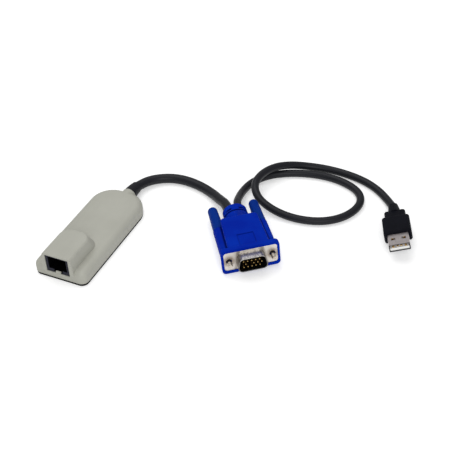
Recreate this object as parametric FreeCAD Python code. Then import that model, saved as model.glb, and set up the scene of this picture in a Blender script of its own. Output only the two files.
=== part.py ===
import FreeCAD, Part
import math
import os
from FreeCAD import Placement, Rotation, Vector

# Network module that links a computer to a keyboard, video and mouse switch.
# A two-part plastic housing holds a board with a network jack. A lead leaves its
# rear, runs to a video plug with two thumbscrews, and a thinner lead goes on from
# that plug, in one loop, to a data plug.
# Frame: origin under the middle of the housing, on the surface it stands on;
# +Y along the housing from the jack to the lead, +Z up. All sizes in millimetres.

# ---- Housing
housing_width = 34.0
housing_length = 78.5        # without the collar round the lead
collar_reach = 2.5           # how far the collar stands out at the rear
low_height = 9.0             # top of the low part
front_corner = 4.2           # corner radii in plan
rear_corner = 14.0
edge_round = 4.0             # rounding between the sides and the top
wall = 1.6
reveal_height = 1.0          # shadow line between the cover and the surface
reveal_inset = 0.3
base_thickness = 2.2
cover_clearance = 0.15

# ---- Hump over the network jack
hump_height = 17.8
hump_wall = 1.3
hump_top_width = 18.4
hump_foot_width = 20.4       # where it meets the low part
hump_top_length = 24.4
hump_foot_length = 29.2
hump_corner = 7.0
hump_round = 1.8

# ---- Board and what stands on it
board_thickness = 1.6
board_gap = 0.6              # under the board, taken up by the pads
board_side_gap = 2.6         # from the housing's sides
board_front_gap = 5.5        # from the housing's front face
board_rear_gap = 11.0        # from the housing's rear
pad_radius = 1.5
pad_span_x = 22.0
chip_side = 12.0
chip_height = 1.4
buffer_size = (6.0, 5.0, 1.5)
crystal_size = (5.0, 3.2, 1.3)
transformer_size = (12.8, 6.4, 5.6)
header_size = (14.0, 5.0, 2.6)

# ---- Network jack
jack_width = 15.0
jack_height = 12.0
jack_depth = 15.6
jack_recess = 0.4            # its face lies this far inside the front face
jack_gap = 0.1               # between the jack and the edge of its opening
sill_height = 4.9            # lower edge of the opening above the surface
socket_width = 11.9
socket_floor = 7.2
socket_top = 15.6
socket_depth = 12.5
latch_width = 5.6
latch_floor = 0.5
contact_count = 8
contact_pitch = 1.02
contact_radius = 0.23
contact_drop = 2.8

# ---- Case screws
screw_side_gap = 4.6         # from the housing's sides
screw_y = 6.0
boss_radius = 2.4
screw_shank_radius = 1.1
screw_head_radius = 2.2
screw_head_height = 1.0
screw_length = 5.6

# ---- Strain relief on the housing
boot_x = 1.4
boot_z = 4.6
boot_neck_radius = 2.3
boot_base_radius = 4.2
boot_end_radius = 3.5
boot_flange = (9.0, 1.8, 4.6)
boot_flange_gap = 5.2        # from the housing's rear to the front of the flange
boot_reach = 7.3             # from the collar to its end
boot_drop = 0.2
boot_lean = 16.0             # degrees that its end turns to the side
boot_dip = 3.7               # degrees that its end points down
collar_radius = 4.5
collar_depth = 5.5           # from the housing's rear into it

# ---- Leads
video_lead_diameter = 6.0
data_lead_diameter = 4.8
tangent_share = 0.45

# ---- Video plug, in its own frame: x across, y back from the metal face, z up
video_place = (96.38, 9.07, 9.12)
video_turn = 36.5
video_nose_up = 1.9
video_roll = -2.8            # it leans on its left side
screw_spacing = 24.99
hood_width = 33.6
hood_height = 16.4
hood_lip = 0.4               # lip in front of the metal face
hood_flange_depth = 3.0
hood_flange_round = 1.0
hood_corner = 2.4
grip_front_width = 24.0
grip_rear_width = 22.0
grip_height = 15.2
grip_end = 31.0
grip_corner = 2.4
grip_round = 1.2
tube_front_radius = 4.0
tube_rear_radius = 3.6
tube_end = 28.0
neck_width = 14.6
neck_height = 12.0
neck_end = 45.0
neck_groove_y = 37.6
neck_groove_width = 1.0
neck_groove_depth = 0.8
neck_round = 1.4
label_size = (9.4, 10.4, 0.3)
label_y = 3.6
plate_width = 30.8
plate_height = 12.5
plate_corner = 1.8
plate_thickness = 0.8
rear_plate_thickness = 0.6
plate_hole_radius = 1.8
skirt_width = 16.9           # inside, at the wide side, which is down
skirt_height = 8.4
skirt_lean = 10.0
skirt_corner = 2.3
skirt_wall = 0.45
skirt_depth = 5.9
insulator_face = -0.6
insulator_end = 9.0
insulator_gap = 0.05
pin_radius = 0.38
pin_pitch = 2.29
pin_row = 1.98
pin_tip = -5.2
pin_hole_gap = 0.04
empty_pin = 1                # place in the middle row that holds no pin
video_exit_x = -3.2          # where the leads leave the neck
data_exit_x = 3.1

# ---- Thumbscrews
thumb_front_radius = 3.4
thumb_rear_radius = 2.9
thumb_gap = 0.3
thumb_length = 22.0
thumb_end_round = 2.2
thread_radius = 1.42
thread_length = 4.2
thread_chamfer = 0.4
shank_radius = 1.2
shank_grip = 8.0             # length held in the knob
shank_bore_gap = 0.3

# ---- Data plug, in its own frame: x across, y back from the mouth, z up
data_place = (170.57, 48.04, 9.73)
data_turn = 21.05
data_nose_up = 8.0
data_roll = -12.6            # it leans on its left side
mouth_width = 12.0
mouth_height = 4.5
mouth_wall = 0.3
mouth_corner = 0.6
mouth_length = 16.0
mouth_reach = 11.4
window_side = 2.4
window_x = 3.0
window_y = 5.0
tongue_width = 10.8
tongue_thickness = 1.9
tongue_front = 0.4
strip_width = 1.0
strip_thickness = 0.15
strip_places = ((-3.5, 7.4), (-1.0, 6.4), (1.0, 6.4), (3.5, 7.4))
body_width = 16.0
body_height = 8.0
body_length = 17.7
body_corner = 1.6
body_front_chamfer = 0.9
body_rear_round = 1.5
step_width = 12.4
step_height = 7.0
step_length = 6.0
neck_start_radius = 4.1
neck_finish_radius = 3.1
neck_length = 9.4
neck_lean = 14.0             # degrees that its end turns to the left

# ---- Places that follow from the sizes above
front_y = -(housing_length + collar_reach) / 2
body_rear_y = front_y + housing_length
rear_y = -front_y
board_bottom = base_thickness + board_gap
board_top = board_bottom + board_thickness
board_front_y = front_y + board_front_gap
board_rear_y = body_rear_y - board_rear_gap
board_width = housing_width - 2 * board_side_gap
jack_front_y = front_y + jack_recess
jack_rear_y = jack_front_y + jack_depth
screw_x = housing_width / 2 - screw_side_gap
boss_points = [(-screw_x, screw_y), (screw_x, screw_y)]
boot_flange_y = body_rear_y - boot_flange_gap
boot_end_y = rear_y + boot_reach
along = Vector(0, 1, 0)


def block(x0, x1, y0, y1, z0, z1):
    return Part.makeBox(x1 - x0, y1 - y0, z1 - z0, Vector(x0, y0, z0))


def rod(radius, x, y0, y1, z):
    return Part.makeCylinder(radius, y1 - y0, Vector(x, y0, z), along)


def post(radius, x, y, z0, z1):
    return Part.makeCylinder(radius, z1 - z0, Vector(x, y, z0))


def rounded_outline(corners):
    """Closed wire through (point, radius) corners; a radius of 0 leaves one sharp."""
    count = len(corners)
    cuts = []
    for i in range(count):
        point, radius = corners[i]
        if radius == 0:
            cuts.append((point, None, point))
            continue
        back = (corners[i - 1][0] - point).normalize()
        ahead = (corners[(i + 1) % count][0] - point).normalize()
        half = back.getAngle(ahead) / 2
        reach = radius / math.tan(half)
        toward = (back + ahead).normalize()
        middle = point + toward * (radius / math.sin(half) - radius)
        cuts.append((point + back * reach, middle, point + ahead * reach))
    edges = []
    for i in range(count):
        start, middle, end = cuts[i]
        if middle is not None:
            edges.append(Part.Arc(start, middle, end).toShape())
        following = cuts[(i + 1) % count][0]
        if end.distanceToPoint(following) > 1e-6:
            edges.append(Part.LineSegment(end, following).toShape())
    return Part.Wire(edges)


def edges_at(shape, z):
    """Edges that lie wholly in the level plane at z."""
    found = []
    for edge in shape.Edges:
        box = edge.BoundBox
        if abs(box.ZMin - z) < 1e-4 and abs(box.ZMax - z) < 1e-4:
            found.append(edge)
    return found


def rim_at(shape, y):
    """Edges that lie wholly in the upright plane at y."""
    found = []
    for edge in shape.Edges:
        box = edge.BoundBox
        if abs(box.YMin - y) < 1e-4 and abs(box.YMax - y) < 1e-4:
            found.append(edge)
    return found


def plan_outline(inset, z):
    """Plan of the low part, moved in by inset."""
    side = housing_width / 2 - inset
    front = front_y + inset
    rear = body_rear_y - inset
    return rounded_outline([
        (Vector(-side, front, z), front_corner - inset),
        (Vector(side, front, z), front_corner - inset),
        (Vector(side, rear, z), rear_corner - inset),
        (Vector(-side, rear, z), rear_corner - inset)])


def low_form(inset):
    """Low part with its rounded top edge, moved in by inset."""
    solid = Part.Face(plan_outline(inset, 0)).extrude(Vector(0, 0, low_height - inset))
    return solid.makeFillet(edge_round - inset, edges_at(solid, low_height - inset))


def hump_outline(inset, z):
    """Plan of the hump at height z; its sides and rear lean in towards the top."""
    share = (hump_height - z) / (hump_height - low_height)
    side = (hump_top_width + (hump_foot_width - hump_top_width) * share) / 2 - inset
    length = hump_top_length + (hump_foot_length - hump_top_length) * share
    front = front_y + inset
    rear = front_y + length - inset
    return rounded_outline([
        (Vector(-side, front, z), 0), (Vector(side, front, z), 0),
        (Vector(side, rear, z), hump_corner - inset),
        (Vector(-side, rear, z), hump_corner - inset)])


def hump_form(inset, top):
    low = hump_outline(inset, reveal_height)
    high = hump_outline(inset, top)
    return Part.makeLoft([low, high], True, True)


def cover():
    """Upper shell of the housing: low part, hump over the jack and rear collar."""
    hump = hump_form(0, hump_height)
    crown = [edge for edge in edges_at(hump, hump_height) if edge.BoundBox.YMax > front_y + 1]
    hump = hump.makeFillet(hump_round, crown)
    collar = rod(collar_radius, boot_x, body_rear_y - collar_depth, rear_y, boot_z)
    outside = low_form(0).fuse([hump, collar]).removeSplitter()
    inside = low_form(wall).fuse(hump_form(hump_wall, hump_height - hump_wall))
    shell = outside.cut(inside)
    fixings = []
    for x, y in boss_points:
        boss = post(boss_radius, x, y, base_thickness, low_height)
        fixings.append(boss.common(low_form(wall / 2)))
    shell = shell.fuse(fixings).removeSplitter()
    opening = jack_width / 2 + jack_gap
    opening_top = board_top + jack_height + jack_gap
    cuts = [block(-opening, opening, front_y - 1, front_y + 2 * wall, sill_height, opening_top),
            rod(boot_neck_radius + jack_gap, boot_x, boot_flange_y, rear_y + 1, boot_z),
            block(-housing_width, housing_width, front_y - 1, rear_y + 1, -1, reveal_height)]
    for x, y in boss_points:
        cuts.append(post(screw_shank_radius, x, y, 0, screw_head_height + screw_length))
    return shell.cut(cuts)


def base():
    """Lower shell: a plate set in from the sides, a step that fills the cover, and pads."""
    foot = Part.Face(plan_outline(reveal_inset, 0)).extrude(Vector(0, 0, reveal_height))
    step = Part.Face(plan_outline(wall + cover_clearance, reveal_height))
    step = step.extrude(Vector(0, 0, base_thickness - reveal_height))
    pads = []
    for x in (-pad_span_x / 2, pad_span_x / 2):
        for y in (board_front_y + 6, board_rear_y - 6):
            pads.append(post(pad_radius, x, y, base_thickness, board_bottom))
    plate = foot.fuse([step] + pads)
    cuts = []
    for x, y in boss_points:
        cuts.append(post(screw_shank_radius + cover_clearance, x, y, -1, base_thickness + 1))
        cuts.append(post(screw_head_radius + cover_clearance, x, y, -1, screw_head_height))
    return plate.cut(cuts).removeSplitter()


def case_screws():
    """Two self-tapping screws, sunk in the base from below."""
    screws = []
    for x, y in boss_points:
        head = post(screw_head_radius, x, y, 0.1, screw_head_height)
        shank = post(screw_shank_radius - 0.02, x, y, screw_head_height, screw_head_height + screw_length)
        screws.append(head.fuse(shank).removeSplitter())
    return Part.makeCompound(screws)


def board():
    half = board_width / 2
    plate = block(-half, half, board_front_y, board_rear_y, board_bottom, board_top)
    cuts = []
    for x, y in boss_points:
        cuts.append(post(boss_radius + 0.3, x, y, 0, low_height))
    return plate.cut(cuts)


def jack():
    """Eight-way network jack: a block with a stepped socket and a latch slot below."""
    half = jack_width / 2
    top = board_top + jack_height
    body = block(-half, half, jack_front_y, jack_rear_y, board_top, top)
    lip = sill_height + jack_gap
    socket_back = jack_front_y + socket_depth
    cuts = [block(-half - 1, half + 1, jack_front_y - 1, front_y + wall + jack_gap, board_top - 1, lip),
            block(-socket_width / 2, socket_width / 2, jack_front_y - 1, socket_back,
                  socket_floor, socket_top),
            block(-latch_width / 2, latch_width / 2, jack_front_y - 1, socket_back - 1.5,
                  sill_height + jack_gap + latch_floor, socket_floor + 1)]
    return body.cut(cuts)


def jack_contacts():
    """Sprung wires that slope down from the roof of the socket to its back wall."""
    start_y = jack_front_y + 1.6
    end_y = jack_front_y + socket_depth
    slope = math.atan2(contact_drop, end_y - start_y)
    length = (end_y - start_y) / math.cos(slope) - contact_radius
    direction = Vector(0, math.cos(slope), -math.sin(slope))
    wires = []
    for i in range(contact_count):
        x = (i - (contact_count - 1) / 2) * contact_pitch
        start = Vector(x, start_y, socket_top - contact_radius * 1.3)
        wires.append(Part.makeCylinder(contact_radius, length, start, direction))
    return Part.makeCompound(wires)


def on_board(size, x, y):
    """A component of size (across, along, up) centred at x, y on the board."""
    across, length, height = size
    return block(x - across / 2, x + across / 2, y - length / 2, y + length / 2,
                 board_top, board_top + height)


def boot():
    """Moulded strain relief: flange and neck in the housing, tapered tail outside."""
    across, thick, high = boot_flange
    flange = block(boot_x - across / 2, boot_x + across / 2, boot_flange_y,
                   boot_flange_y + thick, boot_z - high / 2, boot_z + high / 2)
    neck = rod(boot_neck_radius, boot_x, boot_flange_y, rear_y + 0.5, boot_z)
    middle_y = (rear_y + boot_end_y) / 2
    lean = math.radians(boot_lean)
    sections = [
        (boot_base_radius, Vector(boot_x, rear_y, boot_z), Vector(0, 1, 0)),
        ((boot_base_radius + boot_end_radius) / 2, Vector(boot_x, middle_y, boot_z - boot_drop / 2),
         Vector(math.sin(lean / 2), math.cos(lean / 2), 0)),
        (boot_end_radius, boot_mouth(), boot_direction())]
    rings = []
    for radius, centre, direction in sections:
        rings.append(Part.Wire(Part.makeCircle(radius, centre, direction)))
    return Part.makeLoft(rings, True).fuse([neck, flange]).removeSplitter()


def boot_mouth():
    return Vector(boot_x + 0.4, boot_end_y, boot_z - boot_drop)


def boot_direction():
    lean = math.radians(boot_lean)
    dip = math.tan(math.radians(boot_dip))
    return Vector(math.sin(lean), math.cos(lean), -dip).normalize()


def lead_wires():
    """Five insulated wires from the end of the lead to the header on the board."""
    header_rear = board_rear_y - 0.6
    wires = []
    for i in range(5):
        wires.append(rod(0.5, boot_x + (i - 2) * 1.4, header_rear, boot_flange_y, board_top + 1.4))
    return Part.makeCompound(wires)


def lead(points, diameter, name):
    """Round lead along straight runs joined by tangent arcs."""
    count = len(points)
    edges = []
    radii = []
    start = points[0]
    for i in range(1, count - 1):
        into = points[i] - points[i - 1]
        out = points[i + 1] - points[i]
        reach = tangent_share * min(into.Length, out.Length)
        into.normalize()
        out.normalize()
        half = into.getAngle(out) / 2
        radius = reach / math.tan(half)
        radii.append(radius)
        first = points[i] - into * reach
        last = points[i] + out * reach
        inward = (out - into).normalize()
        middle = points[i] + inward * (radius / math.cos(half) - radius)
        edges.append(Part.LineSegment(start, first).toShape())
        edges.append(Part.Arc(first, middle, last).toShape())
        start = last
    edges.append(Part.LineSegment(start, points[-1]).toShape())
    path = Part.Wire(edges)
    ring = Part.Wire(Part.makeCircle(diameter / 2, points[0], points[1] - points[0]))
    tube = path.makePipeShell([ring], True, False)
    section = math.pi * diameter ** 2 / 4
    print(name, "length", round(path.Length, 1), "radii", [round(r, 1) for r in radii])
    print(name, "volume over section times length", round(tube.Volume / (section * path.Length), 4))
    return tube


def d_outline(grow, y):
    """D outline of the skirt, moved out by grow, wide side down."""
    lean = math.radians(skirt_lean)
    low = -skirt_height / 2 - grow
    high = skirt_height / 2 + grow
    centre_half = skirt_width / 2 - skirt_height / 2 * math.tan(lean) + grow / math.cos(lean)
    wide = centre_half - low * math.tan(lean)
    narrow = centre_half - high * math.tan(lean)
    radius = skirt_corner + grow
    return rounded_outline([
        (Vector(-wide, y, low), radius), (Vector(wide, y, low), radius),
        (Vector(narrow, y, high), radius), (Vector(-narrow, y, high), radius)])


def slab(width, height, corner, y0, y1):
    """Upright plate with rounded corners, from y0 back to y1."""
    x, z = width / 2, height / 2
    outline = rounded_outline([
        (Vector(-x, y0, -z), corner), (Vector(x, y0, -z), corner),
        (Vector(x, y0, z), corner), (Vector(-x, y0, z), corner)])
    return Part.Face(outline).extrude(Vector(0, y1 - y0, 0))


def grip():
    """Middle of the hood: narrower to the rear, with rounded rear corners and edges."""
    front, rear = grip_front_width / 2, grip_rear_width / 2
    z = -grip_height / 2
    start = hood_flange_depth / 2
    outline = rounded_outline([
        (Vector(-front, start, z), 0), (Vector(front, start, z), 0),
        (Vector(rear, grip_end, z), grip_corner), (Vector(-rear, grip_end, z), grip_corner)])
    solid = Part.Face(outline).extrude(Vector(0, 0, grip_height))
    return solid.makeFillet(grip_round, edges_at(solid, z) + edges_at(solid, -z))


def oval(width, height, y0, y1):
    """Oval post along the plug, from y0 back to y1."""
    ellipse = Part.Ellipse(Vector(0, y0, 0), width / 2, height / 2)
    edge = ellipse.toShape()
    edge.rotate(Vector(0, y0, 0), Vector(1, 0, 0), 90)
    return Part.Face(Part.Wire(edge)).extrude(Vector(0, y1 - y0, 0))


def neck():
    """Oval neck that the leads leave, with a ring groove and four slots behind it."""
    solid = oval(neck_width, neck_height, grip_end - 1, neck_end)
    solid = solid.makeFillet(neck_round, rim_at(solid, neck_end))
    deep = 2 * neck_groove_depth
    core = oval(neck_width - deep, neck_height - deep, neck_groove_y, neck_groove_y + neck_groove_width)
    ring = slab(2 * neck_width, 2 * neck_height, 1, neck_groove_y, neck_groove_y + neck_groove_width)
    solid = solid.cut(ring.cut(core))
    slots = []
    slot_y = neck_groove_y + neck_groove_width + 0.9
    for x in (-1, 1):
        for z in (-1, 1):
            centre_x = x * neck_width * 0.27
            slot = block(centre_x - 1.7, centre_x + 1.7, slot_y, slot_y + 1.2,
                         neck_height * 0.36, neck_height)
            if z < 0:
                slot = slot.mirror(Vector(0, 0, 0), Vector(0, 0, 1))
            slots.append(slot)
    return solid.cut(slots)


def hood():
    """Moulded hood of the video plug: flange, grip, two screw tubes and neck."""
    flange = slab(hood_width, hood_height, hood_corner, -hood_lip, hood_flange_depth)
    flange = flange.makeFillet(hood_flange_round, rim_at(flange, hood_flange_depth))
    pieces = [grip(), neck()]
    for x in (-screw_spacing / 2, screw_spacing / 2):
        start = hood_flange_depth / 2
        pieces.append(Part.makeCone(tube_front_radius, tube_rear_radius, tube_end - start,
                                    Vector(x, start, 0), along))
    solid = flange.fuse(pieces).removeSplitter()
    plates = plate_thickness + rear_plate_thickness
    across, length, deep = label_size
    top = grip_height / 2
    cuts = [slab(plate_width + 0.2, plate_height + 0.2, plate_corner, -hood_lip - 1, plates),
            Part.Face(d_outline(0, plates)).extrude(Vector(0, insulator_end - plates, 0)),
            block(-across / 2, across / 2, label_y, label_y + length, top - deep, hood_height)]
    for x in (-screw_spacing / 2, screw_spacing / 2):
        cuts.append(rod(shank_radius + shank_bore_gap, x, -1, tube_end + 1, 0))
        cuts.append(rod(thumb_front_radius + thumb_gap, x, tube_end, grip_end + 1, 0))
    return solid.cut(cuts)


def face_plate(y0, y1):
    """Metal flange with its two screw holes and the opening for the contacts."""
    plate = slab(plate_width, plate_height, plate_corner, y0, y1)
    cuts = [Part.Face(d_outline(0, y0)).extrude(Vector(0, y1 - y0, 0))]
    for x in (-screw_spacing / 2, screw_spacing / 2):
        cuts.append(rod(plate_hole_radius, x, y0 - 1, y1 + 1, 0))
    return plate.cut(cuts)


def video_shell():
    """Stamped front shell: flange and D-shaped skirt in one sheet."""
    outer = Part.Face(d_outline(skirt_wall, -skirt_depth)).extrude(Vector(0, skirt_depth, 0))
    inner = Part.Face(d_outline(0, -skirt_depth)).extrude(Vector(0, skirt_depth, 0))
    return face_plate(0, plate_thickness).fuse(outer.cut(inner)).removeSplitter()


def pin_places():
    """Three rows of five; the middle row is half a pitch to the side."""
    places = []
    for row in range(3):
        for i in range(5):
            if row == 1 and i == empty_pin:
                continue
            x = (i - 2) * pin_pitch + (pin_pitch / 4 if row == 1 else -pin_pitch / 4)
            places.append((x, (1 - row) * pin_row))
    return places


def video_insulator():
    """Moulded block that holds the pins."""
    block_outline = d_outline(-insulator_gap, insulator_face)
    solid = Part.Face(block_outline).extrude(Vector(0, insulator_end - insulator_face, 0))
    holes = []
    for x, z in pin_places():
        holes.append(rod(pin_radius + pin_hole_gap, x, insulator_face - 1, insulator_end + 1, z))
    return solid.cut(holes)


def video_pins():
    pins = []
    for x, z in pin_places():
        pins.append(rod(pin_radius, x, pin_tip, insulator_end, z))
    return Part.makeCompound(pins)


def thumb_knob(x):
    """Moulded knob that turns the screw, with a rounded end."""
    start = tube_end + thumb_gap
    knob = Part.makeCone(thumb_front_radius, thumb_rear_radius, thumb_length,
                         Vector(x, start, 0), along)
    knob = knob.makeFillet(thumb_end_round, rim_at(knob, start + thumb_length))
    return knob.cut(rod(shank_radius + 0.02, x, start - 1, start + shank_grip, 0))


def thumb_screw(x):
    """Steel screw of a thumbscrew: threaded tip, thinner shank, end held in the knob."""
    tip = -thread_length - thread_chamfer
    cone = Part.makeCone(thread_radius - thread_chamfer, thread_radius, thread_chamfer,
                         Vector(x, tip, 0), along)
    thread = rod(thread_radius, x, -thread_length, 0, 0)
    shank = rod(shank_radius, x, 0, tube_end + thumb_gap + shank_grip, 0)
    return cone.fuse([thread, shank]).removeSplitter()


def tube_of(width, height, corner, thickness, y0, y1):
    outer = slab(width, height, corner, y0, y1)
    inner = slab(width - 2 * thickness, height - 2 * thickness, corner - thickness, y0, y1)
    return outer.cut(inner)


def data_shell():
    """Folded steel mouth of the data plug, with two windows above and two below."""
    sleeve = tube_of(mouth_width, mouth_height, mouth_corner, mouth_wall, 0, mouth_length)
    cuts = []
    for x in (-window_x, window_x):
        cuts.append(block(x - window_side / 2, x + window_side / 2, window_y,
                          window_y + window_side, -mouth_height, mouth_height))
    return sleeve.cut(cuts)


def data_tongue():
    """Insulator in the lower half of the mouth, with a full-height block behind."""
    low = -mouth_height / 2 + mouth_wall
    half = tongue_width / 2
    plate = block(-half, half, tongue_front, mouth_reach, low, low + tongue_thickness)
    rear = block(-half, half, mouth_reach, mouth_length, low, -low)
    return plate.fuse(rear).removeSplitter()


def data_contacts():
    """Four flat strips on the tongue; the outer two reach further forward."""
    low = -mouth_height / 2 + mouth_wall + tongue_thickness
    strips = []
    for x, length in strip_places:
        strips.append(block(x - strip_width / 2, x + strip_width / 2, mouth_reach - length - 1.6,
                            mouth_reach, low, low + strip_thickness))
    return Part.makeCompound(strips)


def data_body():
    """Moulded grip of the data plug: body, step and tapered neck."""
    start = mouth_reach
    step_start = start + body_length
    neck_start = step_start + step_length
    body = slab(body_width, body_height, body_corner, start, step_start)
    body = body.makeChamfer(body_front_chamfer, rim_at(body, start))
    body = body.makeFillet(body_rear_round, rim_at(body, step_start))
    step = slab(step_width, step_height, body_corner, step_start - 1, neck_start)
    first = Part.makeCircle(neck_start_radius, Vector(0, neck_start - 0.5, 0), along)
    last = Part.makeCircle(neck_finish_radius, neck_mouth(), neck_direction())
    tail = Part.makeLoft([Part.Wire(first), Part.Wire(last)], True)
    solid = body.fuse([step, tail]).removeSplitter()
    pocket = slab(mouth_width, mouth_height, mouth_corner, start - 1, mouth_length)
    return solid.cut(pocket)


def neck_mouth():
    return Vector(-0.5, data_neck_end, 0)


def neck_direction():
    lean = math.radians(neck_lean)
    return Vector(-math.sin(lean), math.cos(lean), 0)



def plug_placement(place, turn, nose_up, roll):
    rotation = Rotation(Vector(0, 0, 1), turn)
    rotation = rotation.multiply(Rotation(Vector(1, 0, 0), -nose_up))
    rotation = rotation.multiply(Rotation(Vector(0, 1, 0), roll))
    return Placement(Vector(*place), rotation)


video_placement = plug_placement(video_place, video_turn, video_nose_up, video_roll)
data_placement = plug_placement(data_place, data_turn, data_nose_up, data_roll)
data_neck_end = mouth_reach + body_length + step_length + neck_length


def at_video(shape):
    placed = shape.copy()
    placed.Placement = video_placement.multiply(placed.Placement)
    return placed


def at_data(shape):
    placed = shape.copy()
    placed.Placement = data_placement.multiply(placed.Placement)
    return placed


def video_lead():
    """Lead from the strain relief to the neck of the video plug."""
    end = video_placement.multVec(Vector(video_exit_x, neck_end, 0))
    before_end = video_placement.multVec(Vector(video_exit_x, neck_end + 8, 0))
    start = boot_mouth()
    after_start = start + boot_direction() * 6.2
    middle = [(6.9, 59.1, 3.5), (12.3, 63.6, 3.1), (19.4, 66.4, 3.0), (28.2, 66.9, 3.0),
              (38.6, 64.8, 3.0), (48.5, 60.3, 3.4), (56.3, 54.1, 5.4)]
    points = [start, after_start] + [Vector(*p) for p in middle] + [before_end, end]
    return lead(points, video_lead_diameter, "video lead")


def data_lead():
    """Thinner lead: out of the video plug, under itself, round a loop and over itself."""
    start = video_placement.multVec(Vector(data_exit_x, neck_end, 0))
    after_start = video_placement.multVec(Vector(data_exit_x, neck_end + 7, 0))
    end = data_placement.multVec(neck_mouth())
    before_end = data_placement.multVec(neck_mouth() + neck_direction() * 5.4)
    middle = [(65.8, 59.5, 5.6), (63.9, 69.7, 3.2), (64.9, 81.2, 2.4), (71.3, 91.5, 2.4),
              (82.0, 98.8, 2.4), (95.0, 103.3, 2.4), (108.4, 104.6, 2.4), (120.5, 102.2, 2.4),
              (130.2, 96.7, 2.4), (134.6, 88.3, 2.4), (133.8, 78.5, 2.4), (129.0, 69.3, 2.4),
              (120.8, 62.3, 2.4), (110.3, 58.7, 2.4), (98.4, 57.9, 2.7), (86.8, 59.5, 4.0),
              (76.6, 64.0, 6.4), (70.4, 72.9, 9.4), (70.3, 83.5, 11.6), (74.6, 93.4, 12.2),
              (81.6, 102.6, 10.4), (91.5, 109.1, 7.4), (104.0, 112.3, 4.4), (117.5, 111.6, 2.6),
              (130.0, 108.7, 2.4), (141.0, 102.8, 2.5)]
    points = [start, after_start] + [Vector(*p) for p in middle] + [before_end, end]
    return lead(points, data_lead_diameter, "data lead")


def main():
    os.makedirs("parts", exist_ok=True)
    jack_end = jack_rear_y
    parts = {
        "top_cover": cover(),
        "base_cover": base(),
        "case_screws": case_screws(),
        "main_board": board(),
        "network_jack": jack(),
        "jack_contacts": jack_contacts(),
        "line_transformer": on_board(transformer_size, 0, jack_end + 0.6 + transformer_size[1] / 2),
        "main_chip": on_board((chip_side, chip_side, chip_height), 0, -4.0),
        "video_buffer": on_board(buffer_size, -7.0, 13.0),
        "crystal": on_board(crystal_size, 8.0, 12.0),
        "wire_header": on_board(header_size, boot_x, board_rear_y - 0.6 - header_size[1] / 2),
        "lead_wires": lead_wires(),
        "cable_boot": boot(),
        "video_lead": video_lead(),
        "video_hood": at_video(hood()),
        "video_shell": at_video(video_shell()),
        "video_rear_shell": at_video(face_plate(plate_thickness, plate_thickness + rear_plate_thickness)),
        "video_insulator": at_video(video_insulator()),
        "video_pins": at_video(video_pins()),
        "data_lead": data_lead(),
        "data_body": at_data(data_body()),
        "data_shell": at_data(data_shell()),
        "data_tongue": at_data(data_tongue()),
        "data_contacts": at_data(data_contacts()),
    }
    for side, x in (("left", -screw_spacing / 2), ("right", screw_spacing / 2)):
        parts["thumb_knob_" + side] = at_video(thumb_knob(x))
        parts["thumb_screw_" + side] = at_video(thumb_screw(x))
    for name, shape in parts.items():
        box = shape.optimalBoundingBox()
        print(name, len(shape.Solids), "solids, valid", shape.isValid(), "volume", round(shape.Volume, 1),
              "x", round(box.XMin, 2), round(box.XMax, 2), "y", round(box.YMin, 2),
              round(box.YMax, 2), "z", round(box.ZMin, 2), round(box.ZMax, 2))
        shape.exportStep("parts/" + name + ".step")


main()
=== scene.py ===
import bpy
import math
from mathutils import Matrix, Vector


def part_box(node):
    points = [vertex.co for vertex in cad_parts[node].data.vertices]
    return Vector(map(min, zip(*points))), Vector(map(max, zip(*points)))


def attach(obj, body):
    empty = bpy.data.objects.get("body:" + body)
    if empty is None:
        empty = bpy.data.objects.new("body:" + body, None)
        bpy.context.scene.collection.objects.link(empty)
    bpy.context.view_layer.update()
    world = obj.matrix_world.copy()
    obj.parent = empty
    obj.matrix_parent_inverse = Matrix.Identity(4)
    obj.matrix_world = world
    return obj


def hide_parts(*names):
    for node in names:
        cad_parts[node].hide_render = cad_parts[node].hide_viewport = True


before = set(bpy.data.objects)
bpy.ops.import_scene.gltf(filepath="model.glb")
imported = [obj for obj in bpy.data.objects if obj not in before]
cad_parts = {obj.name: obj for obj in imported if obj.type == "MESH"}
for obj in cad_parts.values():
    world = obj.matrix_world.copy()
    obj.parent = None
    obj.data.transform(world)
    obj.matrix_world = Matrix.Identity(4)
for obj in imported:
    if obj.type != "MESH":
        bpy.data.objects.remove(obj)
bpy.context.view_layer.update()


# ---- Camera
# A long lens a little over half a metre away looks down on the laid-out module,
# with a slight roll. Its aim lies on the surface, between the two plugs.
camera_place = Vector((0.27296, -0.37393, 0.37857))
camera_aim = Vector((0.06596, 0.03947, 0.0))
camera_roll = math.radians(-2.77)
bpy.ops.object.select_all(action="DESELECT")
bpy.ops.object.camera_add(location=camera_place)
camera = bpy.context.object
camera.data.sensor_width = 36
camera.data.lens = 80
camera.data.clip_start = 0.01
look = (camera_aim - camera_place).to_track_quat("-Z", "Y").to_matrix()
camera.rotation_euler = (look @ Matrix.Rotation(camera_roll, 3, "Z")).to_euler()
bpy.context.scene.camera = camera


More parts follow.
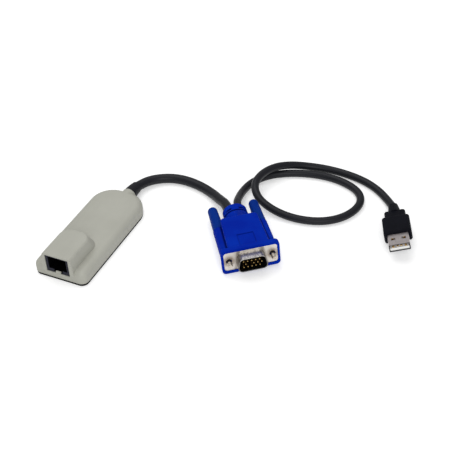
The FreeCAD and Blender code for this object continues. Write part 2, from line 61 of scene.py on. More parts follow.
# ---- Floor and light
# A plain pale floor under the module, in an even pale room with two wide soft lamps, one
# overhead and one at the front right. Shader values are written as sums on sockets, and
# each finish below is built up from them.
class Amount:
    """A shader socket that can be added, multiplied and compared."""

    def __init__(self, finish, socket):
        self.finish = finish
        self.socket = socket

    def sum_with(self, operation, first, second):
        return self.finish.node("ShaderNodeMath", {"operation": operation}, {0: first, 1: second})

    def __add__(self, other):
        return self.sum_with("ADD", self, other)

    def __sub__(self, other):
        return self.sum_with("SUBTRACT", self, other)

    def __rsub__(self, other):
        return self.sum_with("SUBTRACT", other, self)

    def __mul__(self, other):
        return self.sum_with("MULTIPLY", self, other)

    def __gt__(self, other):
        return self.sum_with("GREATER_THAN", self, other)

    def __lt__(self, other):
        return self.sum_with("LESS_THAN", self, other)

    def __abs__(self):
        return self.finish.node("ShaderNodeMath", {"operation": "ABSOLUTE"}, {0: self})

    def or_larger(self, other):
        return self.sum_with("MAXIMUM", self, other)

    __radd__ = __add__
    __rmul__ = __mul__


class Finish:
    """A material, its shader and the nodes that feed it."""

    def __init__(self, name, colour, roughness, metallic=0.0):
        self.material = bpy.data.materials.new(name)
        self.material.use_nodes = True
        self.tree = self.material.node_tree
        self.shader = self.tree.nodes["Principled BSDF"]
        self.set("Base Color", colour)
        self.set("Roughness", roughness)
        self.set("Metallic", metallic)
        self.material.diffuse_color = (*colour, 1)

    def put(self, socket, value):
        """Links a socket, or sets it where the value is a number or a colour."""
        if isinstance(value, Amount):
            self.tree.links.new(value.socket, socket)
        elif isinstance(value, tuple) and socket.type == "RGBA":
            socket.default_value = (*value, 1)
        else:
            socket.default_value = value

    def node(self, kind, settings=None, inputs=None, output=0):
        """Adds any node: its settings first, then the values or links of its sockets."""
        made = self.tree.nodes.new(kind)
        for name, value in (settings or {}).items():
            setattr(made, name, value)
        for name, value in (inputs or {}).items():
            self.put(made.inputs[name], value)
        return Amount(self, made.outputs[output])

    def set(self, name, value):
        self.put(self.shader.inputs[name], value)

    def places(self, plug=None):
        """Places in metres, in the module's frame or in a plug's own frame."""
        here = self.node("ShaderNodeTexCoord", output="Object")
        if plug is None:
            return here
        return self.node("ShaderNodeMapping", {"vector_type": "TEXTURE"}, {
            "Vector": here, "Location": plug.to_translation(), "Rotation": plug.to_euler()})

    def stretch(self, places, across, along, up):
        """Places stretched along the three axes, for grain that runs one way."""
        return self.node("ShaderNodeVectorMath", {"operation": "MULTIPLY"},
                         {0: places, 1: Vector((across, along, up))})

    def parts(self, places):
        """The x, y and z of a place."""
        split = self.node("ShaderNodeSeparateXYZ", None, {0: places})
        return [Amount(self, socket) for socket in split.socket.node.outputs]

    def fade(self, value, start, end):
        """0 up to start, 1 from end, smooth between."""
        return self.node("ShaderNodeMapRange", {"interpolation_type": "SMOOTHSTEP"},
                         {"Value": value, "From Min": start, "From Max": end})

    def noise(self, scale, detail=2.0, roughness=0.5, places=None):
        return self.node("ShaderNodeTexNoise", None, {
            "Vector": places or self.places(), "Scale": scale, "Detail": detail, "Roughness": roughness})

    def mix(self, share, first, second):
        return self.node("ShaderNodeMix", {"data_type": "RGBA"},
                         {0: share, 6: first, 7: second}, output=2)

    def bump(self, height, strength, distance):
        self.set("Normal", self.node("ShaderNodeBump", None, {
            "Height": height, "Strength": strength, "Distance": distance}))


bpy.ops.object.select_all(action="DESELECT")
bpy.ops.mesh.primitive_plane_add(size=8, location=(0, 0, 0))
floor = bpy.context.object
floor.name = "floor"
floor_paint = Finish("floor_paint", (0.88, 0.88, 0.88), 0.7)
floor_glow = 0.37
camera_ray = floor_paint.node("ShaderNodeLightPath", output="Is Camera Ray")
glossy_ray = floor_paint.node("ShaderNodeLightPath", output="Is Glossy Ray")
dull_floor = Amount(floor_paint, floor_paint.shader.outputs[0])
glow = floor_paint.node("ShaderNodeEmission", None, {"Color": (1.0, 1.0, 1.0), "Strength": floor_glow})
lit_floor = floor_paint.node("ShaderNodeAddShader", None, {0: dull_floor, 1: glow})
seen_floor = floor_paint.node("ShaderNodeMixShader", None, {
    0: camera_ray + glossy_ray, 1: dull_floor, 2: lit_floor})
floor_paint.put(floor_paint.tree.nodes["Material Output"].inputs["Surface"], seen_floor)
floor.data.materials.append(floor_paint.material)

lamp_aim = Vector((0.07, 0.04, 0))
overhead_lamp = ((-0.25, 0.25, 0.95), 0.9, 4.5)
right_lamp = ((0.55, -0.78, 0.7), 0.8, 5.1)
for lamp_place, lamp_size, lamp_power in (overhead_lamp, right_lamp):
    bpy.ops.object.light_add(type="AREA", location=lamp_place)
    lamp = bpy.context.object
    lamp.data.size = lamp_size
    lamp.data.energy = lamp_power
    toward = lamp_aim - Vector(lamp_place)
    lamp.rotation_euler = toward.to_track_quat("-Z", "Y").to_euler()

room_brightness = 0.42
room = bpy.data.worlds.new("room")
room.use_nodes = True
room_light = room.node_tree.nodes["Background"]
room_light.inputs["Color"].default_value = (1, 1, 1, 1)
room_light.inputs["Strength"].default_value = room_brightness
bpy.context.scene.world = room
bpy.context.scene.view_settings.view_transform = "Standard"


# ---- Leads
# Two round leads in soft black jackets: a 6 mm one from the housing to the video plug,
# and a 4.8 mm one from that plug, once round under and over itself, to the data plug.
# They are extruded, so the jacket is smooth, with a faint grain and a bluish sheen.

# Where each plug lies at its lead's end. Its own +Y runs back from its mouth to the lead.
video_plug = (Matrix.Translation((0.09638, 0.00907, 0.00912)) @ Matrix.Rotation(math.radians(36.5), 4, "Z")
              @ Matrix.Rotation(math.radians(-1.9), 4, "X") @ Matrix.Rotation(math.radians(-2.8), 4, "Y"))
data_plug = (Matrix.Translation((0.17057, 0.04804, 0.00973)) @ Matrix.Rotation(math.radians(21.05), 4, "Z")
             @ Matrix.Rotation(math.radians(-8.0), 4, "X") @ Matrix.Rotation(math.radians(-12.6), 4, "Y"))


def lay_lead(name, diameter, points):
    """Round lead along one smooth curve; its points are in millimetres."""
    line = bpy.data.curves.new(name, "CURVE")
    line.dimensions = "3D"
    spline = line.splines.new("NURBS")
    spline.points.add(len(points) - 1)
    for point, place in zip(spline.points, points):
        point.co = (place[0] / 1000, place[1] / 1000, place[2] / 1000, 1)
        point.radius = diameter / 2
    spline.order_u = 3
    spline.use_endpoint_u = True
    spline.resolution_u = 12
    line.bevel_depth = 1
    line.bevel_resolution = 8
    line.use_fill_caps = True
    lead = bpy.data.objects.new(name, line)
    bpy.context.collection.objects.link(lead)
    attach(lead, "module")
    return lead


lead_jacket = Finish("lead_jacket", (0.012, 0.0125, 0.017), 0.42)
jacket_tone = lead_jacket.noise(90, 3)
jacket_dark = (0.007, 0.0075, 0.0105)
jacket_light = (0.013, 0.0135, 0.0185)
lead_jacket.set("Base Color", lead_jacket.mix(jacket_tone, jacket_dark, jacket_light))
jacket_grain = lead_jacket.noise(1900, 3)
jacket_dust = lead_jacket.fade(lead_jacket.noise(420, 4, 0.7), 0.62, 0.8)
lead_jacket.set("Roughness", 0.34 + 0.16 * jacket_grain + 0.16 * jacket_dust)
lead_jacket.bump(jacket_grain, 0.12, 0.00004)
lead_jacket.set("Specular IOR Level", 0.22)

video_lead = lay_lead("video_cord", 0.006, [
    (1.8, 47.8, 4.4), (3.51, 53.75, 4.0), (6.9, 59.1, 3.5), (12.3, 63.6, 3.1), (19.4, 66.4, 3.0),
    (28.2, 66.9, 3.0), (38.6, 64.8, 3.0), (48.5, 60.3, 3.4), (56.3, 54.1, 5.4), (62.31, 49.75, 7.21),
    (67.06, 43.32, 7.47)])
video_lead.data.materials.append(lead_jacket.material)
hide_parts("video_lead")
data_lead = lay_lead("data_cord", 0.0048, [
    (72.11, 47.07, 7.78), (67.95, 52.69, 7.55), (65.8, 59.5, 5.6), (63.9, 69.7, 3.2), (64.9, 81.2, 2.4),
    (71.3, 91.5, 2.4), (82.0, 98.8, 2.4), (95.0, 103.3, 2.4), (108.4, 104.6, 2.4), (120.5, 102.2, 2.4),
    (130.2, 96.7, 2.4), (134.6, 88.3, 2.4), (133.8, 78.5, 2.4), (129.0, 69.3, 2.4), (120.8, 62.3, 2.4),
    (110.3, 58.7, 2.4), (98.4, 57.9, 2.7), (86.8, 59.5, 4.2), (76.6, 64.0, 6.2), (70.4, 72.9, 8.0),
    (70.3, 83.5, 8.6), (75.0, 93.9, 8.6), (82.3, 102.5, 6.4), (92.0, 109.1, 3.6), (104.2, 112.3, 2.4),
    (117.5, 111.6, 2.4), (130.0, 108.7, 2.4), (141.0, 102.8, 2.5), (151.25, 93.32, 2.44),
    (154.29, 88.98, 3.43)])
data_lead.data.materials.append(lead_jacket.material)
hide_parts("data_lead")


# ---- Base
# The lower half of the case, in plastic painted near black as painted shade for the dark
# line under the cover. It is set in a little from the cover's sides, and two zinc-plated
# screws in its recesses hold the halves together.
def moulded(name, dark, light, grain=3200, roughness=0.5, relief=0.22, gloss=0.5):
    """Moulded plastic: slow drift of tone, faint flow marks and a spark-eroded texture."""
    plastic = Finish(name, light, roughness)
    plastic.set("Specular IOR Level", gloss)
    drift = plastic.noise(55, 3)
    flow = plastic.noise(6, 4, 0.6, plastic.stretch(plastic.places(), 9, 2, 9))
    tone = plastic.fade(0.6 * drift + 0.4 * flow, 0.32, 0.68)
    texture = plastic.noise(grain, 2, 0.6)
    plastic.set("Base Color", plastic.mix(tone, dark, light))
    plastic.set("Roughness", roughness - 0.06 + 0.12 * texture + 0.06 * drift)
    plastic.bump(texture, relief, 0.00003)
    return plastic


def dress(node, finish):
    """Gives a solid its material."""
    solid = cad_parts[node]
    solid.data.materials.clear()
    solid.data.materials.append(finish.material)


# Near black all over: painted shade for the line under the cover's edge.
base_plastic = moulded("base_plastic", (0.012, 0.012, 0.011), (0.02, 0.02, 0.018), roughness=0.6, gloss=0.1)
dress("base_cover", base_plastic)

screw_steel = Finish("screw_steel", (0.5, 0.5, 0.5), 0.35, 1.0)
turned = screw_steel.noise(900, 3, 0.6)
zinc_bloom = screw_steel.fade(screw_steel.noise(260, 3), 0.5, 0.75)
screw_steel.set("Base Color", screw_steel.mix(zinc_bloom, (0.56, 0.56, 0.58), (0.45, 0.44, 0.4)))
screw_steel.set("Roughness", 0.26 + 0.2 * turned + 0.12 * zinc_bloom)
screw_steel.bump(turned, 0.1, 0.00003)
dress("case_screws", screw_steel)


# ---- Board and what stands on it
# A green fibreglass board with tinned pads, two black chips, a transformer, a metal-canned
# crystal and a white wire header. Five coloured wires run from the header to the lead.
solder_mask = Finish("solder_mask", (0.012, 0.11, 0.04), 0.35)
track_wave = solder_mask.node("ShaderNodeTexWave", {"bands_direction": "X"}, {
    "Vector": solder_mask.places(), "Scale": 190.0, "Distortion": 6.0, "Detail": 1.0, "Detail Scale": 0.4})
tracks = solder_mask.fade(track_wave, 0.55, 0.75)
pads = solder_mask.node("ShaderNodeTexVoronoi", {"feature": "F1"}, {
    "Vector": solder_mask.places(), "Scale": 420.0, "Randomness": 0.25})
tinned = (pads < 0.22) * (solder_mask.noise(70, 2) > 0.56)
copper_tone = solder_mask.mix(tracks, (0.01, 0.085, 0.032), (0.02, 0.16, 0.06))
solder_mask.set("Base Color", solder_mask.mix(tinned, copper_tone, (0.55, 0.55, 0.52)))
solder_mask.set("Metallic", tinned)
solder_mask.set("Roughness", 0.3 + 0.1 * tracks)
solder_mask.bump(tracks + tinned, 0.3, 0.00004)
dress("main_board", solder_mask)

chip_black = moulded("chip_black", (0.014, 0.014, 0.015), (0.026, 0.026, 0.028), 4200, 0.55, 0.3)
dress("main_chip", chip_black)
dress("video_buffer", chip_black)
winding_black = moulded("transformer_black", (0.012, 0.012, 0.012), (0.022, 0.021, 0.02), 2600, 0.45)
dress("line_transformer", winding_black)
header_white = moulded("header_white", (0.66, 0.65, 0.6), (0.76, 0.75, 0.71), 2600, 0.45)
dress("wire_header", header_white)

can_metal = Finish("can_metal", (0.62, 0.62, 0.6), 0.25, 1.0)
can_brush = can_metal.noise(300, 3, 0.6, can_metal.stretch(can_metal.places(), 1, 8, 8))
can_metal.set("Base Color", can_metal.mix(can_brush, (0.52, 0.52, 0.5), (0.7, 0.7, 0.68)))
can_metal.set("Roughness", 0.18 + 0.22 * can_brush)
dress("crystal", can_metal)

wire_jackets = Finish("wire_jackets", (0.4, 0.03, 0.03), 0.4)
wire_pitch = 0.0014
wire_x = wire_jackets.parts(wire_jackets.places())[0]
wire_colour = (0.4, 0.02, 0.02)
further_colours = ((0.02, 0.25, 0.05), (0.02, 0.05, 0.4), (0.5, 0.5, 0.48), (0.02, 0.02, 0.02))
for i, further_colour in enumerate(further_colours):
    wire_colour = wire_jackets.mix(wire_x > (i - 0.5) * wire_pitch, wire_colour, further_colour)
wire_jackets.set("Base Color", wire_colour)
wire_jackets.set("Roughness", 0.35 + 0.15 * wire_jackets.noise(1500, 2))
dress("lead_wires", wire_jackets)


# ---- Network jack
# A black eight-way socket soldered to the board, its face just inside the housing's
# front. Its rim catches a little light, and inside its mouth painted shade turns it near
# black; eight sprung gold wires hang from the roof.
jack_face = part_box("network_jack")[0][1]
rim_dark = (0.012, 0.0125, 0.022)
rim_light = (0.02, 0.021, 0.034)
jack_black = moulded("jack_black", rim_dark, rim_light, 3000, 0.5, 0.18, 0.12)
jack_y = jack_black.parts(jack_black.places())[1]
# Painted shade: behind the face, the inside of the mouth is coloured near black.
socket_shade = jack_black.fade(jack_y, jack_face + 0.0001, jack_face + 0.0004)
jack_tone = jack_black.mix(jack_black.noise(55, 3), rim_dark, rim_light)
jack_black.set("Base Color", jack_black.mix(socket_shade, jack_tone, (0.0006, 0.0006, 0.0008)))
dress("network_jack", jack_black)

contact_gold = Finish("contact_gold", (0.78, 0.52, 0.18), 0.25, 1.0)
gold_tone = contact_gold.noise(700, 3)
wiped = contact_gold.fade(contact_gold.noise(1500, 2), 0.55, 0.75)
contact_gold.set("Base Color", contact_gold.mix(gold_tone, (0.7, 0.43, 0.13), (0.86, 0.62, 0.26)))
contact_gold.set("Roughness", 0.18 + 0.14 * gold_tone + 0.16 * wiped)
contact_gold.bump(gold_tone, 0.1, 0.00002)
dress("jack_contacts", contact_gold)


# ---- Top cover
# The upper half of the case, injection moulded in warm light grey plastic with a fine
# spark-eroded texture. The tall hump over the jack runs into the low part in a hollow
# rounding, and every outer edge is soft. It snaps and screws down over the base.
def take_up(piece):
    """Makes a piece the only one in hand."""
    bpy.ops.object.select_all(action="DESELECT")
    piece.select_set(True)
    bpy.context.view_layer.objects.active = piece


def put_down():
    """Ends the work on the selected parts of a mesh."""
    bpy.ops.mesh.select_all(action="DESELECT")
    bpy.ops.object.mode_set(mode="OBJECT")


def copy_solid(node, name):
    """Copy of a solid as one joined mesh, to be shaped further."""
    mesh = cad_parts[node].data.copy()
    mesh.materials.clear()
    piece = bpy.data.objects.new(name, mesh)
    bpy.context.collection.objects.link(piece)
    take_up(piece)
    bpy.ops.object.mode_set(mode="EDIT")
    bpy.ops.mesh.select_all(action="SELECT")
    bpy.ops.mesh.remove_doubles(threshold=0.000002)
    bpy.ops.mesh.dissolve_limited(angle_limit=math.radians(0.3))
    put_down()
    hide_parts(node)
    return piece


def pick_edges(piece, wanted, plug=None):
    """Selects the edges whose two ends both pass the test, given in millimetres."""
    back = plug.inverted() if plug else Matrix.Identity(4)
    take_up(piece)
    bpy.ops.object.mode_set(mode="EDIT")
    bpy.ops.mesh.select_mode(type="EDGE")
    put_down()
    places = [(back @ vertex.co) * 1000 for vertex in piece.data.vertices]
    for edge in piece.data.edges:
        first, second = (places[i] for i in edge.vertices)
        edge.select = wanted(first) and wanted(second)


def round_picked(width, steps):
    """Rounds the selected edges over a width in millimetres."""
    bpy.ops.object.mode_set(mode="EDIT")
    bpy.ops.mesh.bevel(offset=width / 1000, segments=steps, profile=0.5, clamp_overlap=True)
    put_down()


def move_picked(shift):
    """Moves the selected edges; the shift is in millimetres."""
    bpy.ops.object.mode_set(mode="EDIT")
    bpy.ops.transform.translate(value=shift / 1000)
    put_down()


def block(name, size, centre):
    """Block along the axes; its size and centre are in millimetres."""
    bpy.ops.object.select_all(action="DESELECT")
    bpy.ops.mesh.primitive_cube_add(size=0.001, location=Vector(centre) / 1000)
    made = bpy.context.object
    made.name = name
    made.scale = size
    bpy.ops.object.transform_apply(location=True, rotation=True, scale=True)
    return made


def finish_piece(piece, body, finish, angle=32):
    """Smooths the shading up to an angle, and gives the piece its body and finish."""
    take_up(piece)
    bpy.ops.object.shade_smooth_by_angle(angle=math.radians(angle))
    level = piece.modifiers.new("even_shading", "WEIGHTED_NORMAL")
    level.keep_sharp = True
    bpy.ops.object.modifier_apply(modifier=level.name)
    piece.data.materials.append(finish.material)
    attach(piece, body)


cover_low, cover_high = (corner * 1000 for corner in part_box("top_cover"))
hump_top = cover_high.z
low_top = 9.0
half_hump_top = 9.2
half_hump_foot = 10.2
hump_rear_foot = cover_low.y + 29.2
front_round = 4.0

# Places less than this far apart count as one, in millimetres.
near = 0.03


def at_hump_foot(place):
    """Whether the hump meets the low part here, on its flat top or on its rounded front."""
    fallen = (hump_top - place.z) / (hump_top - low_top)
    side = half_hump_top + (half_hump_foot - half_hump_top) * fallen
    if abs(place.z - low_top) < near / 3:
        return abs(place.x) < half_hump_foot + 0.05 and place.y < hump_rear_foot + 0.05
    round_z = low_top - front_round
    out = math.hypot(place.y - (cover_low.y + front_round), place.z - round_z)
    on_round = round_z - near < place.z < low_top and abs(out - front_round) < near
    return on_round and abs(abs(place.x) - side) < near


case_cover = copy_solid("top_cover", "case_cover")
pick_edges(case_cover, at_hump_foot)
round_picked(1.4, 5)

# The collar round the boot stands out less than its solid does.
collar_end = cover_high.y
collar_drop = Vector((0, -1.6, 0))
pick_edges(case_cover, lambda place: place.y > collar_end - near)
move_picked(collar_drop)

# The lower edge of the cover is flat, and stops a little above the base's own edge.
cover_foot = 1.6
pick_edges(case_cover, lambda place: place.z < cover_foot)
bpy.ops.object.mode_set(mode="EDIT")
bpy.ops.transform.resize(value=(1, 1, 0), center_override=(0, 0, cover_foot / 1000))
put_down()
case_plastic = moulded("case_plastic", (0.405, 0.405, 0.352), (0.445, 0.445, 0.39), 2900, 0.52, 0.28)
finish_piece(case_cover, "module", case_plastic)

# A small sill of the same plastic stands in the slot for the latch, under the jack's mouth.
sill_size = (3.3, 0.9, 1.9)
sill_centre = (-0.1, -39.95, 5.45)
sill_top = sill_centre[2] + sill_size[2] / 2
latch_sill = block("latch_sill", sill_size, sill_centre)
pick_edges(latch_sill, lambda place: place.z > sill_top - near)
round_picked(0.4, 3)
finish_piece(latch_sill, "module", case_plastic)


# ---- Cable boot
# A short tapered sleeve of black rubber, moulded round the lead where it leaves the
# case. It starts in a collar of the top cover, and ends in a slightly thicker lip.
boot_rubber = moulded("boot_rubber", (0.006, 0.0062, 0.009), (0.013, 0.0135, 0.018), 2400, 0.5, 0.3, 0.2)
boot_sleeve = copy_solid("cable_boot", "boot_sleeve")
boot_end = 47.6
boot_slant = 0.26
pick_edges(boot_sleeve, lambda place: abs(place.y - collar_end) < near)
move_picked(collar_drop)
pick_edges(boot_sleeve, lambda place: place.y > boot_end - boot_slant * place.x)
round_picked(0.5, 3)
finish_piece(boot_sleeve, "module", boot_rubber, 40)


# ---- Metal faces of the video plug
# Two stamped steel plates, nickel plated, clamped face to face; the front one is drawn out
# into the D-shaped skirt that shields the pins. The plate is painted darker brown round the
# screw holes, and the skirt keeps the bright bands of the drawing tool.
screw_axis = 12.495
plate_hole = 0.00183
plug_nickel = Finish("plug_nickel", (0.72, 0.7, 0.66), 0.25, 1.0)
face_places = plug_nickel.places(video_plug)
face_x, face_y, face_z = plug_nickel.parts(face_places)


def from_screw(finish, across, up):
    """Distance from the nearer screw's axis, in metres."""
    beside = abs(across) - screw_axis / 1000
    flat = finish.node("ShaderNodeCombineXYZ", None, {"X": beside, "Z": up})
    return finish.node("ShaderNodeVectorMath", {"operation": "LENGTH"}, {0: flat}, output=1)


# The plate: darker brown round the holes, and painted shade at the root of the skirt.
near_hole = from_screw(plug_nickel, face_x, face_z)
patches = 0.25 + plug_nickel.noise(500, 3, 0.6, face_places)
brown_round_holes = (1 - plug_nickel.fade(near_hole, 0.0018, 0.0048)) * patches
skirt_side = 0.00817
from_middle = abs(face_x) + 0.176 * face_z
root_shade = (plug_nickel.fade(from_middle, 0.0095, skirt_side)
              * plug_nickel.fade(from_middle, 0.0062, 0.0078))
drawn = plug_nickel.noise(240, 3, 0.6, plug_nickel.stretch(face_places, 6, 0.6, 6))
plate_tone = plug_nickel.mix(brown_round_holes, (0.73, 0.69, 0.64), (0.32, 0.25, 0.19))
plate_tone = plug_nickel.mix(0.7 * root_shade, plate_tone, (0.3, 0.26, 0.22))
# Painted shade: the walls inside the screw holes are coloured near black.
hole_shade = (near_hole < plate_hole) * (face_y > 0.00012)
plate_tone = plug_nickel.mix(hole_shade, plate_tone, (0.02, 0.02, 0.02))

# The skirt: bright bands along it, and painted shade at its sides and its foot.
bands = plug_nickel.noise(420, 3, 0.6, plug_nickel.stretch(face_places, 3, 0.9, 3))
skirt_tone = plug_nickel.mix(plug_nickel.fade(bands, 0.35, 0.65), (0.29, 0.275, 0.265), (0.58, 0.56, 0.535))
skirt_side_shade = plug_nickel.fade(from_middle, 0.0068, 0.008)
skirt_tone = plug_nickel.mix(skirt_side_shade, skirt_tone, (0.16, 0.15, 0.14))
skirt_underside_shade = plug_nickel.fade(face_z, -0.001, -0.0042)
skirt_tone = plug_nickel.mix(skirt_underside_shade, skirt_tone, (0.13, 0.13, 0.135))
on_plate = plug_nickel.fade(face_y, -0.0006, -0.0001)
plug_nickel.set("Base Color", plug_nickel.mix(on_plate, skirt_tone, plate_tone))
plug_nickel.set("Roughness", 0.24 + 0.18 * on_plate + 0.16 * drawn + 0.14 * brown_round_holes)
plug_nickel.bump(drawn, 0.08, 0.00004)

video_face = copy_solid("video_shell", "video_face")
finish_piece(video_face, "module", plug_nickel)
dress("video_rear_shell", plug_nickel)


# ---- Insulator and pins
# A black moulded block fills the skirt and holds fourteen gold-plated pins in three rows;
# one place in the middle row is empty. The pins are turned, with rounded tips.
block_dark = (0.0012, 0.001, 0.001)
block_light = (0.003, 0.0024, 0.0024)
dress("video_insulator", moulded("insulator_black", block_dark, block_light, 3000, 0.6, 0.2, 0.03))

pin_gold = Finish("pin_gold", (0.5, 0.33, 0.12), 0.35, 1.0)
pin_wear = pin_gold.noise(1300, 3, 0.6)
pin_gold.set("Base Color", pin_gold.mix(pin_wear, (0.34, 0.2, 0.06), (0.62, 0.43, 0.17)))
pin_gold.set("Roughness", 0.28 + 0.2 * pin_wear)


def rod(name, sides, radius, front, rear, across=0, up=0):
    """Round rod along a plug, from its front end to its rear end; in millimetres."""
    bpy.ops.object.select_all(action="DESELECT")
    bpy.ops.mesh.primitive_cylinder_add(
        vertices=sides, radius=radius / 1000, depth=(rear - front) / 1000,
        location=Vector((across, (front + rear) / 2, up)) / 1000, rotation=(math.radians(-90), 0, 0))
    made = bpy.context.object
    made.name = name
    bpy.ops.object.transform_apply(location=True, rotation=True, scale=True)
    return made


def join_up(pieces, name):
    """Joins like pieces to one."""
    bpy.ops.object.select_all(action="DESELECT")
    for piece in pieces:
        piece.select_set(True)
    bpy.context.view_layer.objects.active = pieces[0]
    bpy.ops.object.join()
    joined = bpy.context.object
    joined.name = name
    return joined


pin_radius = 0.38
pin_pitch = 2.29
pin_row = 1.98
pin_tip = -5.2
pin_tail = 9.0
pins = []
for row in range(3):
    for i in range(5):
        if row == 1 and i == 1:
            continue
        row_shift = 0.25 if row == 1 else -0.25
        across = (i - 2 + row_shift) * pin_pitch
        pin = rod("pin", 20, pin_radius, pin_tip, pin_tail, across, (1 - row) * pin_row)
        pick_edges(pin, lambda place: place.y < pin_tip + near)
        round_picked(0.24, 3)
        pins.append(pin)
pin_set = join_up(pins, "pin_set")
pin_set.data.transform(video_plug)
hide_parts("video_pins")
finish_piece(pin_set, "module", pin_gold, 50)


# ---- Hood of the video plug
# One piece of blue plastic moulded over the plug and both leads: a flange round the metal
# face, a flat grip between two screw tubes, and an oval neck with a ring groove and slots
# that let it bend. A shallow rectangular recess on the grip is left bare.
def within(finish, value, start, end, soft=0.00015):
    """1 where a value lies between two limits, with soft borders, in metres."""
    return finish.fade(value, start - soft, start + soft) * (1 - finish.fade(value, end - soft, end + soft))


hood_dark = (0.0, 0.016, 0.34)
hood_light = (0.0, 0.027, 0.41)
plug_blue = moulded("plug_blue", hood_dark, hood_light, 2300, 0.46, 0.2, 0.02)
hood_places = plug_blue.places(video_plug)
hood_x, hood_y, hood_z = plug_blue.parts(hood_places)
across_hood = abs(hood_x)
above_hood = abs(hood_z)
scuffs = plug_blue.noise(700, 4, 0.7, plug_blue.stretch(hood_places, 1, 0.25, 1))
blue_tone = plug_blue.mix(plug_blue.fade(plug_blue.noise(60, 3), 0.3, 0.7), hood_dark, hood_light)
blue_tone = plug_blue.mix(0.3 * plug_blue.fade(scuffs, 0.66, 0.8), blue_tone, (0.02, 0.06, 0.42))

# Little light gets into the corners beside the grip, the ring groove and the neck's slots.
beyond_grip = across_hood + 0.0339 * hood_y - 0.01205 - 0.0006 * (hood_x > 0.0)
corner_line = (within(plug_blue, beyond_grip, -0.0002, 0.0009, 0.0003)
               * within(plug_blue, above_hood, 0.002, 0.0056, 0.0006)
               * within(plug_blue, hood_y, 0.003, 0.031))
groove_line = within(plug_blue, hood_y, 0.0375, 0.0387)
slot_line = (within(plug_blue, hood_y, 0.0394, 0.0408) * within(plug_blue, across_hood, 0.0022, 0.0057)
             * plug_blue.fade(above_hood, 0.003, 0.0036))
hidden = corner_line.or_larger(groove_line).or_larger(slot_line)
blue_tone = plug_blue.mix(0.75 * hidden, blue_tone, (0.0, 0.003, 0.09))

# The recess has a fine shadow along its rear edge and its two sides.
recess_rear = 0.0129
rear_line = within(plug_blue, hood_y, recess_rear - 0.0004, recess_rear + 0.0003) * (across_hood < 0.0048)
side_line = within(plug_blue, across_hood, 0.0045, 0.0049) * within(plug_blue, hood_y, 0.0036, recess_rear)
recess_line = rear_line.or_larger(side_line) * (hood_z > 0.007)
blue_tone = plug_blue.mix(0.5 * recess_line, blue_tone, (0.0, 0.005, 0.13))
# Painted shade: the inside of each screw bore is coloured near black.
bore_shade = (from_screw(plug_blue, hood_x, hood_z) < 0.0016) * (hood_y > 0.0005)
plug_blue.set("Base Color", plug_blue.mix(bore_shade, blue_tone, (0.002, 0.002, 0.006)))

# The rear edge of the recess moves forward, then its whole border is eased.
grip_top = 7.6
solid_rear = 14.0
half_recess = 4.8
video_grip = copy_solid("video_hood", "video_grip")


def at_recess_rear(place):
    """Whether a place, in the plug's frame, is on the recess's rear edge."""
    return place.z > grip_top - 0.4 and abs(place.y - solid_rear) < near and abs(place.x) < half_recess


def on_recess_border(place):
    """Whether a place, in the plug's frame, is on the recess's border on the grip's top."""
    return abs(place.z - grip_top) < near and 3.5 < place.y < solid_rear and abs(place.x) < half_recess


pick_edges(video_grip, at_recess_rear, video_plug)
move_picked(video_plug.to_3x3() @ Vector((0, 1000 * recess_rear - solid_rear, 0)))
pick_edges(video_grip, on_recess_border, video_plug)
round_picked(0.12, 2)
finish_piece(video_grip, "module", plug_blue)


# ---- Thumbscrews
# Two steel screws run down the hood's tubes and stand out of the metal face with a fine
# thread. Each is pressed into a darker blue knob, tapered and rounded at its end, which
# turns in its tube.
knob_blue = moulded("knob_blue", (0.0, 0.023, 0.22), (0.0008, 0.034, 0.27), 2300, 0.44, 0.2, 0.03)

screw_nickel = Finish("screw_nickel", (0.75, 0.73, 0.68), 0.22, 1.0)
screw_places = screw_nickel.places(video_plug)
machined = screw_nickel.noise(1200, 2, 0.5, screw_nickel.stretch(screw_places, 1, 6, 1))
oil_mark = screw_nickel.fade(screw_nickel.noise(600, 3), 0.5, 0.7)
screw_nickel.set("Base Color", screw_nickel.mix(oil_mark, (0.58, 0.53, 0.46), (0.34, 0.29, 0.24)))
screw_nickel.set("Roughness", 0.28 + 0.2 * machined + 0.1 * oil_mark)
screw_nickel.bump(machined, 0.1, 0.00003)

knob_radius = 3.4
knob_front = 28.3
knob_rear = 50.3
knob_taper = 0.853
knob_bore_depth = 7.0
thread_radius = 1.42
thread_front = -4.2
thread_rear = -1.25
thread_pitch = 0.635
thread_depth = 0.28
core_radius = 1.3
shank_radius = 0.9
shank_rear = 36.3
tip_length = 0.4
tip_taper = 0.72
ring_step = 0.1


def turn_knob(side, across):
    """Tapered knob with a rounded rear end, and a bore in front that takes the screw."""
    knob = rod("finger_knob_" + side, 56, knob_radius, knob_front, knob_rear, across)
    pick_edges(knob, lambda place: place.y > knob_rear - near)
    bpy.ops.object.mode_set(mode="EDIT")
    end = Vector((across, knob_rear, 0)) / 1000
    bpy.ops.transform.resize(value=(knob_taper, 1, knob_taper), center_override=end)
    bpy.ops.mesh.bevel(offset=0.0021, segments=7, profile=0.5, clamp_overlap=True)
    put_down()
    pick_edges(knob, lambda place: place.y < knob_front + near)
    round_picked(0.25, 2)
    for face in knob.data.polygons:
        face.select = face.normal.y < -0.9 and face.area > 0.00001
    bpy.ops.object.mode_set(mode="EDIT")
    bpy.ops.mesh.select_mode(type="FACE")
    bpy.ops.mesh.inset(thickness=0.0019)
    bpy.ops.transform.translate(value=(0, knob_bore_depth / 1000, 0))
    put_down()
    return knob


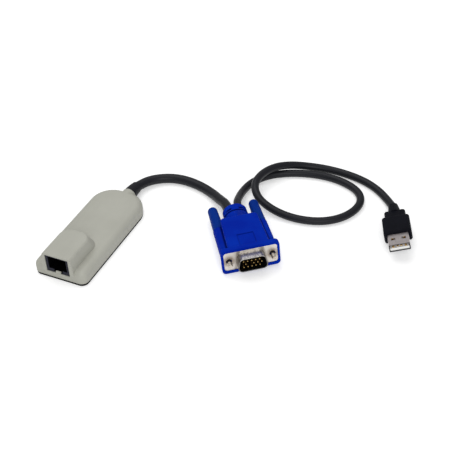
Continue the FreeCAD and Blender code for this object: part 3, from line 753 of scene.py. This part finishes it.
def turn_screw(side, across):
    """Screw with a long plain shank, a fine thread in front and a chamfered tip."""
    screw = rod("screw_" + side, 24, thread_radius, thread_front, 0, across)
    for face in screw.data.polygons:
        face.select = face.normal.y > 0.9
    bpy.ops.object.mode_set(mode="EDIT")
    bpy.ops.mesh.select_mode(type="FACE")
    bpy.ops.mesh.inset(thickness=0.00022)
    bpy.ops.mesh.extrude_region_move(TRANSFORM_OT_translate={"value": (0, shank_rear / 1000, 0)})
    put_down()
    for face in screw.data.polygons:
        face.select = face.normal.y < -0.9
    bpy.ops.object.mode_set(mode="EDIT")
    bpy.ops.mesh.extrude_region_move(TRANSFORM_OT_translate={"value": (0, -tip_length / 1000, 0)})
    tip = Vector((across, thread_front - tip_length, 0)) / 1000
    bpy.ops.transform.resize(value=(tip_taper, 1, tip_taper), center_override=tip)
    for cut in range(1, round(-thread_front / ring_step)):
        ring_y = (thread_front + cut * ring_step) / 1000
        bpy.ops.mesh.select_all(action="SELECT")
        bpy.ops.mesh.bisect(plane_co=(0, ring_y, 0), plane_no=(0, 1, 0))
    put_down()
    for vertex in screw.data.vertices:
        place = vertex.co * 1000
        out = Vector((place.x - across, 0, place.z))
        if place.y > thread_rear:
            vertex.co -= out.normalized() * max(0.0, out.length - shank_radius) / 1000
        elif out.length > core_radius:
            turn = math.atan2(out.z, out.x) / math.tau + place.y / thread_pitch
            fall = abs(turn % 1 - 0.5) * 2
            vertex.co -= out.normalized() * fall * thread_depth / 1000
    return screw


for side, across in (("left", -screw_axis), ("right", screw_axis)):
    knob = turn_knob(side, across)
    knob.data.transform(video_plug)
    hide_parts("thumb_knob_" + side)
    finish_piece(knob, side + "_thumbscrew", knob_blue, 40)

    screw = turn_screw(side, across)
    screw.data.transform(video_plug)
    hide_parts("thumb_screw_" + side)
    finish_piece(screw, side + "_thumbscrew", screw_nickel, 40)


# ---- Mouth of the data plug
# A folded steel sleeve with two windows above and two below, a white moulded tongue in
# its lower half, and four gilt contact strips; the outer two reach further forward. The
# sleeve's cut front edge is dull, and is coloured dark partly for the edge itself and partly
# as painted shade; painted shade also darkens the sleeve's underside and the tongue's foot.
sleeve_steel = Finish("sleeve_steel", (0.62, 0.57, 0.57), 0.3, 1.0)
sleeve_places = sleeve_steel.places(data_plug)
sleeve_y, sleeve_z = sleeve_steel.parts(sleeve_places)[1:]
rolled = sleeve_steel.noise(260, 3, 0.6, sleeve_steel.stretch(sleeve_places, 5, 0.5, 5))
cloud = sleeve_steel.noise(150, 3, 0.5, sleeve_places)
# Dull cut edge, coloured dark: partly the edge itself, partly painted shade.
cut_edge_and_shade = 1 - sleeve_steel.fade(sleeve_y, 0.00005, 0.0003)
# Painted shade on the sleeve's underside.
sleeve_underside_shade = sleeve_steel.fade(sleeve_z, -0.0008, -0.002)
sleeve_tone = sleeve_steel.mix(0.5 * rolled + 0.5 * cloud, (0.5, 0.45, 0.45), (0.68, 0.63, 0.63))
sleeve_tone = sleeve_steel.mix(sleeve_underside_shade, sleeve_tone, (0.2, 0.2, 0.21))
sleeve_tone = sleeve_steel.mix(cut_edge_and_shade, sleeve_tone, (0.1, 0.1, 0.105))
sleeve_steel.set("Base Color", sleeve_tone)
sleeve_steel.set("Roughness", 0.24 + 0.18 * rolled + 0.3 * cut_edge_and_shade)
sleeve_steel.bump(rolled, 0.06, 0.00003)
sleeve = copy_solid("data_shell", "sleeve")
finish_piece(sleeve, "module", sleeve_steel)

tongue_dark = (0.86, 0.86, 0.84)
tongue_light = (0.95, 0.95, 0.93)
tongue_white = moulded("tongue_white", tongue_dark, tongue_light, 2600, 0.45, 0.15)
tongue_z = tongue_white.parts(tongue_white.places(data_plug))[2]
tongue_tone = tongue_white.mix(tongue_white.noise(55, 3), tongue_dark, tongue_light)
# Painted shade: a dark band along the tongue's foot, where it meets the sleeve.
tongue_foot_shade = 1 - tongue_white.fade(tongue_z, -0.00165, -0.0014)
tongue_white.set("Base Color", tongue_white.mix(tongue_foot_shade, tongue_tone, (0.1, 0.1, 0.1)))
dress("data_tongue", tongue_white)

strip_rear = 11.4
strip_width = 1.15
strip_height = 0.24
strip_middle = 0.1
strips = []
for across, front in ((-3.5, 0.9), (-1.0, 1.7), (1.0, 1.7), (3.5, 0.9)):
    strip = block("strip", (strip_width, strip_rear - front, strip_height),
                  (across, (front + strip_rear) / 2, strip_middle))
    pick_edges(strip, lambda place: place.z > strip_middle)
    round_picked(0.11, 3)
    strips.append(strip)
contact_strips = join_up(strips, "contact_strips")
contact_strips.data.transform(data_plug)
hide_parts("data_contacts")
finish_piece(contact_strips, "module", contact_gold, 50)


# ---- Body of the data plug
# Black rubbery plastic moulded round the sleeve and the end of the lead: a flat grip with
# a bevelled front, a narrower step and a tapered neck. The top of the grip is left bare.
body_black = moulded("body_black", (0.0028, 0.003, 0.0052), (0.0055, 0.006, 0.0105), 2500, 0.55, 0.22, 0.05)
plug_grip = copy_solid("data_body", "plug_grip")
finish_piece(plug_grip, "module", body_black, 36)
